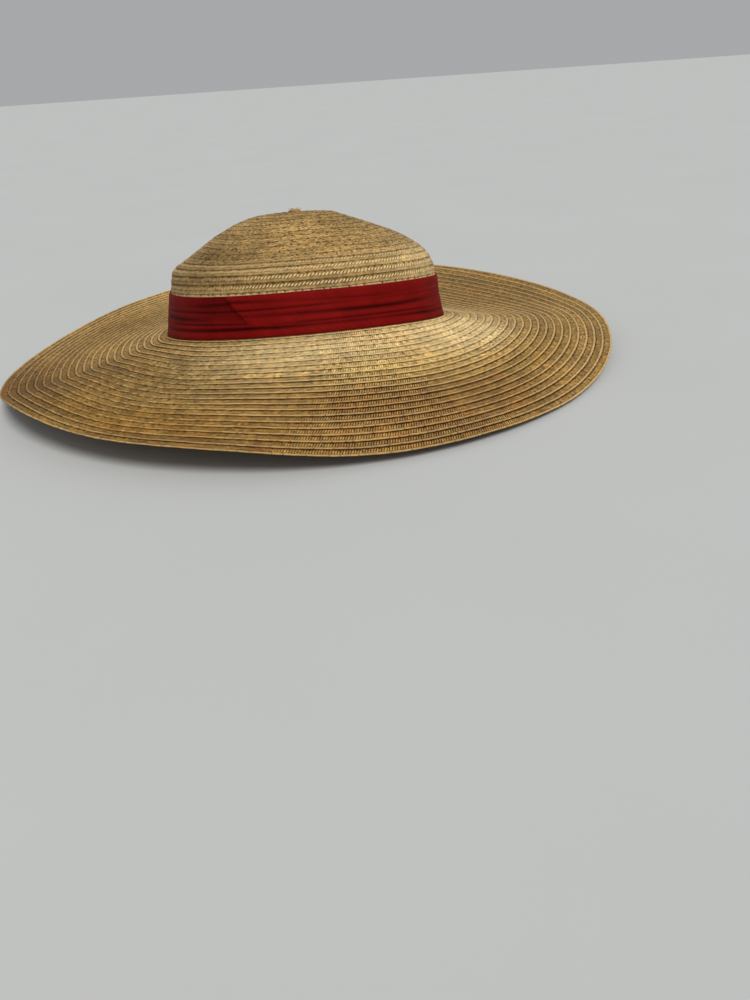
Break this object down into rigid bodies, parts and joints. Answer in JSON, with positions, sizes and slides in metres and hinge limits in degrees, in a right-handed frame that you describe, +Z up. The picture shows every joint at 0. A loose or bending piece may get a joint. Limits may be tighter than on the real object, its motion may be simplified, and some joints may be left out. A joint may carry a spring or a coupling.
{
  "type": "wide-brim hat",
  "caption": "Wide-brim hat of sewn straw braid with a low soft crown, a waving brim and a pleated red ribbon band.",
  "frame": {"origin": "on the surface the hat lies on, under the middle of its outline", "axes": "+Z up, front of the hat towards -Y, wearer's left towards +X"},
  "size_m": [0.3918, 0.4236, 0.0964],
  "materials": {
    "crown_straw": "sewn straw braid, dry, slight sheen",
    "brim_straw": "sewn straw braid, dry, slight sheen, stained",
    "ribbon": "ribbed silk ribbon, soft sheen",
    "coil_straw": "sewn straw braid, dry, slight sheen"
  },
  "bodies": {
    "root": {"crown": "crown_straw", "brim": "brim_straw", "band": "ribbon", "tip_coil": "coil_straw"}
  },
  "joints": []
}
